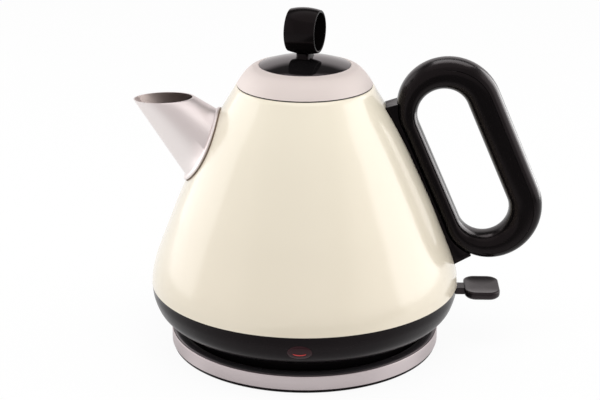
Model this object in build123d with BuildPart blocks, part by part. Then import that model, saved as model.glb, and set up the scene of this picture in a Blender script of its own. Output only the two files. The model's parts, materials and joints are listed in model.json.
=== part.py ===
from build123d import *

import os
from math import atan2, cos, pi, radians, sin, sqrt

os.makedirs("parts", exist_ok=True)

# Cordless pyramid kettle on its round power base, in millimetres.
# +Z is up and the origin is on the kettle's axis, on the surface that the base stands on.
# The spout points to -X, the handle and the switch to +X, and the lamp to -Y.

# Power base
band_radius = 85.1
band_wall = 0.7
band_low = 2.8
band_high = 11.7
tray_radius = band_radius - band_wall - 0.05
rim_high = 13.0
rim_inner = 78.0
dish_floor = 9.0
tray_wall = 2.2
cover_radius = 84.4
cover_low = 0.6
foot_ring_radius = 68.0
foot_ring_width = 8.0
base_screw_radius = 56.0
tower_radius = 16.5
tower_high = 25.0
inlet_height = 7.2
inlet_radius = 4.2

# Kettle body: radius and height of the cone's side, from the skirt seam to the mouth
seam_high = 42.1
mouth_high = 168.3
mouth_top = mouth_high + 0.2
body_side = [
    (97.0, seam_high),
    (96.1, 49.5),
    (93.2, 60.0),
    (85.5, 80.0),
    (77.4, 100.0),
    (58.8, 140.0),
    (42.3, mouth_high),
]
body_wall = 1.3
neck_radius = 38.4
neck_low = 158.0

# Skirt, from the seam down to its flat underside
skirt_side = [(96.9, seam_high), (96.0, 34.5), (92.4, 26.2), (85.0, 20.4), (76.0, 18.0)]
skirt_wall = 2.2
skirt_floor = 20.4
skirt_low = 18.0
kettle_foot_radius = 73.0
kettle_foot_width = 4.0

# Water chamber and heater
floor_top = 47.5
floor_sheet = 1.0
floor_radius = 94.3
post_radius = 66.0
spreader_radius = 47.0
spreader_thick = 2.5
element_radius = 38.0
element_tube = 3.4
steam_tube_x = 55.0
steam_tube_radius = 4.0
steam_tube_top = 122.0

# Spout: a cone about an axis in the XZ plane
spout_point = (-81.6, 150.0)
spout_angle = 44.1
spout_radius = 15.9
spout_taper = 0.2247
spout_wall = 0.9
spout_flange = 2.2
rim_height = 159.3
rim_slope = 1.8

# Lid
lid_radius = 41.8
lid_low = 168.8
lid_flat = 180.2
lid_sheet = 0.9
disc_radius = 28.2
disc_edge = 181.1
disc_crown = 186.2
lip_radius = 28.5
lip_high = 181.1
knob_angle = -16.0
knob_centre = 202.2
knob_mid_radius = 14.2
knob_end_radius = 12.9
knob_length = 19.2
knob_mid_wall = 2.0
knob_end_wall = 1.4
liner_radius = 36.8
screw_hole = 2.05
liner_low = 156.5

# Handle loop: the finger hole's two end centres, and the grip's thickness around them
hole_top = (85.2, 151.4)
hole_bottom = (111.8, 90.3)
hole_radius = 16.0
grip_thick = 20.8
leg_thick = 10.5
grip_width = 23.0
bracket_width = 16.0

# Switch
pivot_x = 77.0
pivot_high = 35.0
pin_radius = 1.5
arm_width = 9.0
arm_thick = 4.4
paddle_in = 101.6
paddle_out = 123.8
paddle_width = 30.0
paddle_top = 38.0
paddle_thick = 6.0
dish_radius = 60.0

# Lamp
lamp_high = 31.8
lamp_width = 15.0
lamp_height = 10.2

pieces = {}


def body_form(growth):
    """The body's outside as a solid of revolution, grown sideways by this much."""
    with BuildPart() as form:
        with BuildSketch(Plane.XZ):
            with BuildLine():
                side = Spline([(r + growth, z) for r, z in body_side])
                Polyline(side @ 1, (0, mouth_high), (0, seam_high), side @ 0)
            make_face()
        revolve(axis=Axis.Z)
    return form.part


def ring(inner, outer, low, high):
    """A plain ring about the kettle's axis, or a disc where inner is 0."""
    with BuildPart() as plain:
        with BuildSketch(Plane.XY.offset(low)):
            Circle(outer)
            if inner:
                Circle(inner, mode=Mode.SUBTRACT)
        extrude(amount=high - low)
    return plain.part


def screws(radius, count, start, head_low, head_high, head_radius, shank_radius, tip):
    """A circle of upright screws with their heads below."""
    with BuildPart() as group:
        with BuildSketch(Plane.XY.offset(head_low)):
            with PolarLocations(radius, count, start_angle=start):
                Circle(head_radius)
        extrude(amount=head_high - head_low)
        with BuildSketch(Plane.XY.offset(head_high)):
            with PolarLocations(radius, count, start_angle=start):
                Circle(shank_radius)
        extrude(amount=tip - head_high)
    return group


# Power base: the dish with its rolled rim, a boss for the plug tower and the inlet at the back
with BuildPart() as base_tray:
    with BuildSketch(Plane.XZ):
        with BuildLine():
            outside = Line((tray_radius, band_low), (tray_radius, band_high))
            rim = ThreePointArc(outside @ 1, (81.4, rim_high), (rim_inner, band_high))
            slope = Line(rim @ 1, (rim_inner - 1.5, dish_floor))
            Polyline(
                slope @ 1,
                (0, dish_floor),
                (0, dish_floor - tray_wall),
                (tray_radius - tray_wall, dish_floor - tray_wall),
                (tray_radius - tray_wall, band_low),
                outside @ 0,
            )
        make_face()
    revolve(axis=Axis.Z)
    with BuildSketch(Plane.XZ.offset(-(tray_radius + 2))):
        with Locations((0, inlet_height)):
            Circle(inlet_radius)
    extrude(amount=8, mode=Mode.SUBTRACT)
pieces["base_tray"] = base_tray

with BuildPart() as base_band:
    add(ring(band_radius - band_wall, band_radius, band_low, band_high))
    fillet(base_band.edges().filter_by(GeomType.CIRCLE).group_by(SortBy.RADIUS)[-1], 0.3)
    with BuildSketch(Plane.XZ.offset(-(tray_radius + 2))):
        with Locations((0, inlet_height)):
            Circle(inlet_radius)
    extrude(amount=8, mode=Mode.SUBTRACT)
pieces["base_band"] = base_band

with BuildPart() as base_cover:
    add(ring(0, cover_radius, cover_low, band_low))
    fillet(base_cover.faces().sort_by(Axis.Z)[0].edges(), 0.8)
    with BuildSketch(Plane.XY.offset(cover_low)):
        Circle(foot_ring_radius + foot_ring_width / 2)
        Circle(foot_ring_radius - foot_ring_width / 2, mode=Mode.SUBTRACT)
    extrude(amount=0.8, mode=Mode.SUBTRACT)
    with PolarLocations(base_screw_radius, 3):
        Hole(1.8)
pieces["base_cover"] = base_cover

with BuildPart() as anti_slip_ring:
    inner = foot_ring_radius - foot_ring_width / 2 + 0.05
    outer = foot_ring_radius + foot_ring_width / 2 - 0.05
    add(ring(inner, outer, 0, cover_low + 0.8))
pieces["anti_slip_ring"] = anti_slip_ring

pieces["base_screws"] = screws(
    base_screw_radius, 3, 0, cover_low - 0.5, cover_low, 3.4, 1.6, dish_floor - tray_wall
)

# Plug tower: a stepped post with an annular slot and a centre well for the contacts
with BuildPart() as base_connector:
    add(ring(0, tower_radius + 4, dish_floor, dish_floor + 2))
    add(ring(0, tower_radius, dish_floor + 2, tower_high))
    fillet(base_connector.faces().sort_by(Axis.Z)[-1].edges(), 1.2)
    with BuildSketch(Plane.XY.offset(tower_high)):
        Circle(11.8)
        Circle(7.4, mode=Mode.SUBTRACT)
        Circle(4.4)
    extrude(amount=-11, mode=Mode.SUBTRACT)
pieces["base_connector"] = base_connector

with BuildPart() as base_contacts:
    add(ring(0, 1.7, tower_high - 11, tower_high - 1))
    add(ring(8.0, 9.2, tower_high - 11, tower_high - 2))
pieces["base_contacts"] = base_contacts

with BuildPart() as cord_grommet:
    with BuildSketch(Plane.XZ.offset(-(tray_radius - tray_wall))):
        with Locations((0, inlet_height)):
            Circle(inlet_radius - 0.05)
            Circle(2.9, mode=Mode.SUBTRACT)
    extrude(amount=-(band_radius - tray_radius + tray_wall + 2.5))
    fillet(cord_grommet.faces().sort_by(Axis.Y)[-1].edges(), 0.5)
pieces["cord_grommet"] = cord_grommet

# Spout: half section of the cone, turned about its slanted axis
spout_way = (-cos(radians(spout_angle)), 0, sin(radians(spout_angle)))
spout_axis = Axis((spout_point[0], 0, spout_point[1]), spout_way)
spout_back = -62.0
spout_front = 24.0


def spout_at(along, radius):
    """A point of the spout's half section, this far along its axis and out from it."""
    x = spout_point[0] - along * cos(radians(spout_angle)) - radius * sin(radians(spout_angle))
    z = spout_point[1] + along * sin(radians(spout_angle)) - radius * cos(radians(spout_angle))
    return (x, z)


def spout_cone(growth):
    """The spout's cone as a solid, grown by this much."""
    with BuildPart() as cone:
        with BuildSketch(Plane.XZ):
            with BuildLine():
                Polyline(
                    spout_at(spout_back, 0),
                    spout_at(spout_back, spout_radius - spout_taper * spout_back + growth),
                    spout_at(spout_front, spout_radius - spout_taper * spout_front + growth),
                    spout_at(spout_front, 0),
                    close=True,
                )
            make_face()
        revolve(axis=spout_axis)
    return cone.part


body_outside = body_form(0)
spout_bore = spout_cone(-spout_wall)
rim_plane = Plane((-86, 0, rim_height), z_dir=(-sin(radians(rim_slope)), 0, cos(radians(rim_slope))))

with BuildPart() as spout:
    add(spout_cone(spout_flange))
    add(body_form(spout_flange), mode=Mode.INTERSECT)
    add(spout_cone(0))
    split(bisect_by=rim_plane, keep=Keep.BOTTOM)
    add(body_outside, mode=Mode.SUBTRACT)
    add(spout_bore, mode=Mode.SUBTRACT)
pieces["spout"] = spout

strainer_along = -24.0
strainer_radius = spout_radius - spout_taper * strainer_along - spout_wall - 0.3
strainer_plane = Plane(
    origin=spout_axis.position + spout_axis.direction * strainer_along,
    x_dir=(0, 1, 0),
    z_dir=spout_axis.direction,
)
with BuildPart() as spout_strainer:
    with BuildSketch(strainer_plane):
        Circle(strainer_radius)
        with HexLocations(3.4, 5, 5):
            Circle(1.9, mode=Mode.SUBTRACT)
    extrude(amount=-1.2)
pieces["spout_strainer"] = spout_strainer

# Handle bolts run square to the handle's leg, from inside the shell
leg_lean = atan2(hole_bottom[0] - hole_top[0], hole_top[1] - hole_bottom[1])
leg_out = Vector(-cos(leg_lean), 0, -sin(leg_lean))
leg_along = Vector(sin(leg_lean), 0, -cos(leg_lean))
bolt_start = Vector(hole_top[0], 0, hole_top[1]) + leg_out * (hole_radius + leg_thick * 0.45)
bolt_radius = 2.0
bolt_head = 4.0
bolts = [(6.0, 11.4), (62.0, 8.8)]
bolt_planes = [Plane(origin=bolt_start + leg_along * along, z_dir=leg_out) for along, reach in bolts]


def bolt_holes(length):
    """Clearance holes for the handle bolts, this long."""
    with BuildPart() as holes:
        with BuildSketch(*bolt_planes):
            Circle(bolt_radius + 0.05)
        extrude(amount=length)
    return holes.part


# Body shell: cone, rolled mouth and drawn neck, with the holes for spout and handle bolts
with BuildPart() as body_shell:
    with BuildSketch(Plane.XZ):
        with BuildLine():
            outside = Spline(body_side)
            inside = Spline([(r - body_wall, z) for r, z in body_side[:-1]] + [(41.6, mouth_high - 1.4)])
            Line(outside @ 0, inside @ 0)
            lip = ThreePointArc(outside @ 1, (41.9, mouth_high + 0.15), (41.2, mouth_top))
            Polyline(
                lip @ 1,
                (neck_radius, mouth_top),
                (neck_radius, neck_low),
                (neck_radius + 1, neck_low),
                (neck_radius + 1, mouth_high - 0.9),
                inside @ 1,
            )
        make_face()
    revolve(axis=Axis.Z)
    add(spout_bore, mode=Mode.SUBTRACT)
    add(bolt_holes(60), mode=Mode.SUBTRACT)
pieces["body_shell"] = body_shell

# Skirt: rounded side, bottom plate, foot ring, switch slot and lamp hole
slot_low = pivot_high - 5.8
slot_high = pivot_high + 3.2
lamp_plane = Plane(origin=(0, -80, lamp_high), x_dir=(1, 0, 0), z_dir=(0, -1, 0))
with BuildPart() as base_skirt:
    with BuildSketch(Plane.XZ):
        with BuildLine():
            side = Spline(skirt_side, tangents=[(0, -1), (-1, -0.15)])
            inside = Spline(
                [(r - skirt_wall, z) for r, z in skirt_side[1:-1]],
                tangents=[(-0.1, -1), (-1, -0.4)],
            )
            Polyline(side @ 0, (91.5, seam_high), (91.5, seam_high - 2.5), inside @ 0)
            Polyline(
                inside @ 1,
                (76.0, skirt_floor),
                (22.0, skirt_floor),
                (22.0, skirt_low),
                side @ 1,
            )
        make_face()
    revolve(axis=Axis.Z)
    with BuildSketch(Plane.XY.offset(dish_floor)):
        Circle(kettle_foot_radius + kettle_foot_width / 2)
        Circle(kettle_foot_radius - kettle_foot_width / 2, mode=Mode.SUBTRACT)
    extrude(amount=skirt_low - dish_floor + 1)
    with Locations((95, 0, (slot_low + slot_high) / 2)):
        Box(12, arm_width + 1.2, slot_high - slot_low, mode=Mode.SUBTRACT)
    with BuildSketch(lamp_plane):
        Ellipse(lamp_width / 2, lamp_height / 2)
    extrude(amount=30, mode=Mode.SUBTRACT)
    with PolarLocations(post_radius, 3, start_angle=60):
        Hole(2.0)
pieces["base_skirt"] = base_skirt

# Lamp: a shallow dome of lens through the skirt, and its bulb
with BuildPart() as lamp_lens:
    with BuildSketch(lamp_plane):
        Ellipse(lamp_width / 2 - 0.1, lamp_height / 2 - 0.1)
    extrude(amount=30)
    with BuildPart(mode=Mode.PRIVATE) as lens_face:
        with BuildSketch(Plane.XZ):
            with BuildLine():
                front = Spline([(r + 0.5, z) for r, z in skirt_side[:4]])
                back = Spline([(r - skirt_wall - 1.5, z) for r, z in skirt_side[:4]])
                Line(front @ 0, back @ 0)
                Line(front @ 1, back @ 1)
            make_face()
        revolve(axis=Axis.Z)
    add(lens_face.part, mode=Mode.INTERSECT)
pieces["lamp_lens"] = lamp_lens

with BuildPart() as lamp_bulb:
    with BuildSketch(Plane(origin=(0, -76, lamp_high), z_dir=(0, -1, 0))):
        Circle(2.6)
    extrude(amount=13)
    fillet(lamp_bulb.faces().sort_by(Axis.Y)[0].edges(), 2.0)
pieces["lamp_bulb"] = lamp_bulb

# Floor of the water chamber: a pan with a down-turned edge and three fixing posts
with BuildPart() as water_floor:
    with BuildSketch(Plane.XZ):
        with BuildLine():
            Polyline(
                (0, floor_top),
                (floor_radius, floor_top),
                (floor_radius, seam_high),
                (floor_radius - floor_sheet, seam_high),
                (floor_radius - floor_sheet, floor_top - floor_sheet),
                (0, floor_top - floor_sheet),
                close=True,
            )
        make_face()
    revolve(axis=Axis.Z)
    rim_edges = water_floor.edges().filter_by(GeomType.CIRCLE).group_by(Axis.Z)[-1]
    fillet(rim_edges, 0.8)
    with BuildSketch(Plane.XY.offset(skirt_floor)):
        with PolarLocations(post_radius, 3, start_angle=60):
            Circle(4.5)
    extrude(amount=floor_top - floor_sheet - skirt_floor)
    with BuildSketch(Plane.XY.offset(skirt_floor)):
        with PolarLocations(post_radius, 3, start_angle=60):
            Circle(1.65)
    extrude(amount=12, mode=Mode.SUBTRACT)
    with Locations((steam_tube_x, 0, floor_top)):
        Hole(steam_tube_radius + 0.05, depth=4)
pieces["water_floor"] = water_floor

pieces["skirt_screws"] = screws(post_radius, 3, 60, skirt_low - 1.8, skirt_low, 3.6, 1.6, skirt_floor + 10)

with BuildPart() as heat_spreader:
    top = floor_top - floor_sheet
    add(ring(0, spreader_radius, top - spreader_thick, top))
    chamfer(heat_spreader.faces().sort_by(Axis.Z)[0].edges(), 0.8)
pieces["heat_spreader"] = heat_spreader

# Sheathed element: an open ring pressed against the spreader, with a cold pin at each end
element_high = floor_top - floor_sheet - spreader_thick - element_tube
with BuildPart() as heating_element:
    with BuildSketch(Plane.XZ.rotated((0, 0, 20))):
        with Locations((element_radius, element_high)):
            Circle(element_tube)
    revolve(axis=Axis.Z, revolution_arc=320)
    ends = heating_element.faces().filter_by(GeomType.PLANE)
    with BuildSketch(*[Plane(end) for end in ends]):
        Circle(1.4)
    extrude(amount=7)
pieces["heating_element"] = heating_element

# Socket that drops over the plug tower, and the control block above it
socket_top = tower_high + 6
with BuildPart() as kettle_connector:
    add(ring(0, 21.6, skirt_low, socket_top))
    add(ring(0, 28.0, skirt_floor, skirt_floor + 2.4))
    with BuildSketch(Plane.XY.offset(skirt_low)):
        Circle(tower_radius + 1)
    extrude(amount=tower_high + 1 - skirt_low, mode=Mode.SUBTRACT)
    fillet(kettle_connector.edges().filter_by(GeomType.CIRCLE).group_by(Axis.Z)[-1], 1.5)
pieces["kettle_connector"] = kettle_connector

with BuildPart() as socket_contacts:
    add(ring(2.1, 3.3, tower_high - 6, tower_high + 1))
    add(ring(10.0, 11.2, tower_high - 6, tower_high + 1))
pieces["socket_contacts"] = socket_contacts

control_top = floor_top - floor_sheet - spreader_thick
with BuildPart() as thermostat_control:
    with BuildSketch(Plane.XY.offset(socket_top)):
        RectangleRounded(46, 30, 5)
    extrude(amount=control_top - 2 - socket_top)
    with BuildSketch(Plane.XY.offset(control_top - 2)):
        with GridLocations(24, 0, 2, 1):
            Circle(8.5)
    extrude(amount=2)
pieces["thermostat_control"] = thermostat_control

with BuildPart() as steam_tube:
    with BuildSketch(Plane.XY.offset(floor_top)):
        with Locations((steam_tube_x, 0)):
            Circle(steam_tube_radius + 2)
            Circle(steam_tube_radius - 0.9, mode=Mode.SUBTRACT)
    extrude(amount=1.6)
    with BuildSketch(Plane.XY.offset(floor_top - 5)):
        with Locations((steam_tube_x, 0)):
            Circle(steam_tube_radius)
            Circle(steam_tube_radius - 0.9, mode=Mode.SUBTRACT)
    extrude(amount=steam_tube_top - floor_top + 5)
pieces["steam_tube"] = steam_tube

# Steam switch: block with two ears for the lever's pin, and its snap disc
housing_top = 39.0
with BuildPart() as switch_housing:
    with BuildSketch(Plane.XY.offset(skirt_floor)):
        with Locations((62, 0)):
            Rectangle(20, 24)
        with Locations((75.5, 8.5), (75.5, -8.5)):
            Rectangle(10, 4)
    extrude(amount=housing_top - skirt_floor)
    vertical = switch_housing.edges().filter_by(Axis.Z).group_by(Axis.X)[-1]
    fillet(vertical, 1.0)
    with BuildSketch(Plane.XZ.offset(-15)):
        with Locations((pivot_x, pivot_high)):
            Circle(pin_radius + 0.02)
    extrude(amount=30, mode=Mode.SUBTRACT)
pieces["switch_housing"] = switch_housing

with BuildPart() as bimetal_disc:
    with BuildSketch(Plane.XY.offset(housing_top)):
        with Locations((62, 0)):
            Circle(8.5)
            Rectangle(5, 9, mode=Mode.SUBTRACT)
    extrude(amount=0.5)
pieces["bimetal_disc"] = bimetal_disc

with BuildPart() as switch_pin:
    with BuildSketch(Plane.XZ.offset(-10.5)):
        with Locations((pivot_x, pivot_high)):
            Circle(pin_radius)
    extrude(amount=21)
pieces["switch_pin"] = switch_pin

# Lever: hub on the pin, arm through the skirt and a dished thumb paddle
paddle_middle = (paddle_in + paddle_out) / 2
with BuildPart() as switch_lever:
    with BuildSketch(Plane.XY.offset(paddle_top - paddle_thick)):
        with Locations((paddle_middle, 0)):
            RectangleRounded(paddle_out - paddle_in, paddle_width, 7)
    extrude(amount=paddle_thick)
    fillet(switch_lever.faces().sort_by(Axis.Z)[0].edges(), 2.8)
    fillet(switch_lever.faces().sort_by(Axis.Z)[-1].edges(), 1.0)
    with Locations((paddle_middle + 1, 0, paddle_top + dish_radius - 1.0)):
        Sphere(dish_radius, mode=Mode.SUBTRACT)
    with BuildSketch(Plane.XZ.offset(-arm_width / 2)):
        with Locations(((pivot_x + paddle_in + 6) / 2, pivot_high)):
            Rectangle(paddle_in + 6 - pivot_x, arm_thick)
        with Locations((pivot_x, pivot_high)):
            Circle(3.4)
    extrude(amount=arm_width)
    with BuildSketch(Plane.XZ.offset(-arm_width)):
        with Locations((pivot_x, pivot_high)):
            Circle(pin_radius + 0.06)
    extrude(amount=2 * arm_width, mode=Mode.SUBTRACT)
pieces["switch_lever"] = switch_lever


# Handle loop: rounded sections around both ends of the finger hole, and a straight leg on the body side
def grip_section(centre, turn, thick):
    """One section of the loop: turn is measured from the leg side, round the hole's end centre."""
    way = Vector(-cos(turn), 0, -sin(turn))
    middle = Vector(centre[0], 0, centre[1]) + way * (hole_radius + thick / 2)
    with BuildSketch(Plane(origin=middle, x_dir=way, z_dir=way.cross(Vector(0, 1, 0)))) as section:
        RectangleRounded(thick, grip_width, min(8.4, 0.46 * thick))
    return section.sketch.faces()[0]


def thick_at(share):
    """The loop's thickness, from the leg (0) round to the grip (1)."""
    return leg_thick + (grip_thick - leg_thick) * sin(share**1.05 * pi / 2)


steps = 6
top_sections = [
    grip_section(hole_top, leg_lean - pi * step / steps, thick_at(step / steps)) for step in range(steps + 1)
]
bottom_sections = [
    grip_section(hole_bottom, leg_lean + pi * step / steps, thick_at(step / steps))
    for step in range(steps, -1, -1)
]
with BuildPart() as handle_loop:
    loft(sections=top_sections)
    loft(sections=bottom_sections)
    loft(sections=[top_sections[-1], bottom_sections[0]], ruled=True)
    loft(sections=[bottom_sections[-1], top_sections[0]], ruled=True)

with BuildPart() as handle_front:
    add(handle_loop.part)
    split(bisect_by=Plane.XZ, keep=Keep.TOP)
    add(bolt_holes(30), mode=Mode.SUBTRACT)
pieces["handle_front"] = handle_front

with BuildPart() as handle_back:
    add(handle_loop.part)
    split(bisect_by=Plane.XZ, keep=Keep.BOTTOM)
    add(bolt_holes(30), mode=Mode.SUBTRACT)
pieces["handle_back"] = handle_back

# Bracket: fills the wedge between the body and the loop's leg
with BuildPart() as handle_bracket:
    with BuildSketch(Plane.XZ.offset(-bracket_width / 2)):
        with BuildLine():
            Polyline(
                (40, 153),
                (60, 159.5),
                (66, 150),
                (93.0, 83.0),
                (104.5, 66),
                (104.7, 60.3),
                (88, 51),
                close=True,
            )
        make_face()
    extrude(amount=bracket_width)
    add(body_outside, mode=Mode.SUBTRACT)
    add(handle_loop.part, mode=Mode.SUBTRACT)
    add(bolt_holes(60), mode=Mode.SUBTRACT)
pieces["handle_bracket"] = handle_bracket

with BuildPart() as handle_bolts:
    for plane, (along, reach) in zip(bolt_planes, bolts):
        with BuildSketch(plane):
            Circle(bolt_radius)
        extrude(amount=reach)
        with BuildSketch(plane.offset(reach)):
            Circle(bolt_head)
        extrude(amount=2.5)
pieces["handle_bolts"] = handle_bolts

# Lid: steel dome, gloss disc, ring knob and the liner with its seal
with BuildPart() as lid_cover:
    with BuildSketch(Plane.XZ):
        with BuildLine():
            dome = Spline(
                (lid_radius, lid_low),
                (39.6, 172.6),
                (36.6, 176.4),
                (32.9, 179.5),
                (lip_radius, lip_high),
            )
            under = Spline(
                (lid_radius - lid_sheet, lid_low),
                (38.7, 172.2),
                (35.7, 175.8),
                (32.0, 178.6),
                (27.6, lid_flat - lid_sheet),
            )
            Line(dome @ 0, under @ 0)
            Polyline(
                dome @ 1,
                (disc_radius + 0.1, lip_high),
                (disc_radius + 0.1, lid_flat),
                (0, lid_flat),
                (0, lid_flat - lid_sheet),
                under @ 1,
            )
        make_face()
    revolve(axis=Axis.Z)
    with Locations((0, 0, lid_flat)):
        Hole(screw_hole)
pieces["lid_cover"] = lid_cover

disc_sag = disc_crown - disc_edge
dome_radius = (disc_radius**2 + disc_sag**2) / (2 * disc_sag)
dome_middle = disc_crown - dome_radius + sqrt(dome_radius**2 - (disc_radius / 2) ** 2)
with BuildPart() as lid_disc:
    with BuildSketch(Plane.XZ):
        with BuildLine():
            Polyline((0, disc_crown), (0, lid_flat), (disc_radius, lid_flat), (disc_radius, disc_edge))
            ThreePointArc((disc_radius, disc_edge), (disc_radius / 2, dome_middle), (0, disc_crown))
        make_face()
    revolve(axis=Axis.Z)
    with Locations((0, 0, lid_flat)):
        Hole(screw_hole)
pieces["lid_disc"] = lid_disc

# Knob: a crowned open ring on a short neck that seats on the disc
knob_plane = Plane(
    origin=(0, 0, knob_centre),
    x_dir=(cos(radians(knob_angle)), sin(radians(knob_angle)), 0),
    z_dir=(sin(radians(knob_angle)), -cos(radians(knob_angle)), 0),
)
knob_axis = Axis((0, 0, knob_centre), (cos(radians(knob_angle)), sin(radians(knob_angle)), 0))
half_length = knob_length / 2


def knob_barrel(middle, end):
    """The knob's crowned barrel as a solid, of these radii."""
    with BuildPart() as barrel:
        with BuildSketch(knob_plane):
            with BuildLine():
                crown = ThreePointArc((-half_length, end), (0, middle), (half_length, end))
                Polyline(crown @ 1, (half_length, 0), (-half_length, 0), crown @ 0)
            make_face()
        revolve(axis=knob_axis)
    return barrel.part


with BuildPart() as lid_knob:
    with BuildSketch(Plane(origin=(0, 0, lid_flat), x_dir=knob_plane.x_dir, z_dir=(0, 0, 1))):
        RectangleRounded(8.0, 12.6, 1.5)
    extrude(amount=knob_centre - lid_flat - 6)
    add(lid_disc.part, mode=Mode.SUBTRACT)
    add(knob_barrel(knob_mid_radius, knob_end_radius))
    bore = knob_barrel(knob_mid_radius - knob_mid_wall, knob_end_radius - knob_end_wall)
    add(bore, mode=Mode.SUBTRACT)
    with BuildSketch(Plane.XY.offset(lid_flat)):
        Circle(screw_hole)
    extrude(amount=knob_centre - knob_mid_radius + 1.0 - lid_flat, mode=Mode.SUBTRACT)
    for end in (-1, 0):
        flats = lid_knob.faces().filter_by(GeomType.PLANE).filter_by(knob_axis)
        fillet(flats.sort_by(knob_axis)[end].edges(), 0.5)
pieces["lid_knob"] = lid_knob

with BuildPart() as knob_screw:
    add(ring(0, 4.0, lid_flat - lid_sheet - 2.2, lid_flat - lid_sheet))
    add(ring(0, 2.0, lid_flat - lid_sheet, knob_centre - knob_mid_radius + 0.4))
pieces["knob_screw"] = knob_screw

liner_high = lid_low + 3.4
with BuildPart() as lid_liner:
    add(ring(0, liner_radius, liner_low, liner_high))
    fillet(lid_liner.faces().sort_by(Axis.Z)[0].edges(), 2.5)
    with BuildSketch(Plane.XY.offset(liner_low + 1.6)):
        Circle(liner_radius - 1.6)
    extrude(amount=30, mode=Mode.SUBTRACT)
    with BuildSketch(Plane.XY.offset(mouth_top)):
        Circle(lid_radius - lid_sheet)
        Circle(liner_radius - 1.6, mode=Mode.SUBTRACT)
    extrude(amount=1.5)
    add(lid_cover.part, mode=Mode.SUBTRACT)
    with BuildSketch(Plane.XY.offset(162.0)):
        Circle(liner_radius + 1)
        Circle(liner_radius - 0.7, mode=Mode.SUBTRACT)
    extrude(amount=3, mode=Mode.SUBTRACT)
pieces["lid_liner"] = lid_liner

with BuildPart() as lid_seal:
    add(ring(liner_radius - 0.65, liner_radius + 1.0, 162.05, 164.95))
    fillet(lid_seal.edges().filter_by(GeomType.CIRCLE).group_by(SortBy.RADIUS)[-1], 0.7)
pieces["lid_seal"] = lid_seal

for name, piece in pieces.items():
    piece.part.label = name
    export_step(piece.part, f"parts/{name}.step")
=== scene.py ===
import json
import math

import bmesh
import bpy
from mathutils import Matrix, Vector
from mathutils.geometry import interpolate_bezier

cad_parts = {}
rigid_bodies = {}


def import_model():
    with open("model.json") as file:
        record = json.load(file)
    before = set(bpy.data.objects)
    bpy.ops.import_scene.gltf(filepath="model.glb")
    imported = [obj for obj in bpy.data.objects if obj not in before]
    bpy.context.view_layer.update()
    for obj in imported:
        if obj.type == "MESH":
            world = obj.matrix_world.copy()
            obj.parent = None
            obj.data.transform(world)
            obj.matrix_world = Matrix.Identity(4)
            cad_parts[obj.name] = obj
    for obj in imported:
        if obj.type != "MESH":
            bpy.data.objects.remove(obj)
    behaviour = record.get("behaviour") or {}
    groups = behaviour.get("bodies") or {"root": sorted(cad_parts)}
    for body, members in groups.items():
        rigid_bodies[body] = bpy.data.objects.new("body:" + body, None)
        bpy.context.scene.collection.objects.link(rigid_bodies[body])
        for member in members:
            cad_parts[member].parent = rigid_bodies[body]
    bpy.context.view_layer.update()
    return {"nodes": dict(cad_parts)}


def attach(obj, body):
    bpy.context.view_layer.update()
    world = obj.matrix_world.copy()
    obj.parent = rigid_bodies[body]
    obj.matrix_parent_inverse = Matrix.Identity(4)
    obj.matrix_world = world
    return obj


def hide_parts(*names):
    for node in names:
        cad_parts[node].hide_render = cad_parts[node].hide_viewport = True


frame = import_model()
print("frame loaded:", len(frame["nodes"]), "nodes")

milli = 0.001  # pieces are shaped in millimetres
turnSteps = 192  # facets round the kettle's axis
mergeWithin = 0.0005  # points this close are one, in millimetres


def linkNodes(tree, start, end):
    tree.links.new(start, end)


# a number is set on the socket, an output is linked to it
def feed(tree, socket, value):
    if isinstance(value, (int, float)):
        socket.default_value = value
    else:
        linkNodes(tree, value, socket)


def addNode(tree, kind, **settings):
    node = tree.nodes.new("ShaderNode" + kind)
    for key, value in settings.items():
        setattr(node, key, value)
    return node


def mathNode(tree, operation, *values):
    node = addNode(tree, "Math", operation=operation)
    for socket, value in zip(node.inputs, values):
        feed(tree, socket, value)
    return node.outputs[0]


def times(tree, first, second):
    return mathNode(tree, "MULTIPLY", first, second)


def plus(tree, first, second):
    return mathNode(tree, "ADD", first, second)


def larger(tree, first, second):
    return mathNode(tree, "MAXIMUM", first, second)


def mapRange(tree, value, limits, **settings):
    node = addNode(tree, "MapRange", **settings)
    feed(tree, node.inputs["Value"], value)
    for label, limit in limits.items():
        feed(tree, node.inputs[label], limit)
    return node.outputs["Result"]


def softStep(tree, value, start, end):
    return mapRange(tree, value, {"From Min": start, "From Max": end}, interpolation_type="SMOOTHSTEP")


def objectPlace(tree):
    return addNode(tree, "TexCoord").outputs["Object"]


def splitPlace(tree, place):
    split = addNode(tree, "SeparateXYZ")
    linkNodes(tree, place, split.inputs[0])
    return split.outputs


def objectNoise(tree, scale, detail, stretch=None):
    place = objectPlace(tree)
    if stretch:
        mapping = addNode(tree, "Mapping")
        linkNodes(tree, place, mapping.inputs["Vector"])
        mapping.inputs["Scale"].default_value = stretch
        place = mapping.outputs["Vector"]
    noise = addNode(tree, "TexNoise")
    linkNodes(tree, place, noise.inputs["Vector"])
    noise.inputs["Detail"].default_value = detail
    feed(tree, noise.inputs["Scale"], scale)
    return noise.outputs["Fac"]


def newGroup(name, inputs, outputs):
    group = bpy.data.node_groups.new(name, "ShaderNodeTree")
    for label, value in inputs.items():
        socket = group.interface.new_socket(name=label, in_out="INPUT", socket_type="NodeSocketFloat")
        socket.default_value = value
    for label in outputs:
        group.interface.new_socket(name=label, in_out="OUTPUT", socket_type="NodeSocketFloat")
    return group, group.nodes.new("NodeGroupInput"), group.nodes.new("NodeGroupOutput")


# handled surfaces: roughness drifts between two values, in soft patches with fine wipe marks;
# a pair here and below is a noise's scale and detail
smudge = {"patches": (28.0, 5.0), "wipes": (420.0, 2.0), "wipeStretch": (1.0, 1.0, 0.12), "wipeShare": 0.25}


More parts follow.
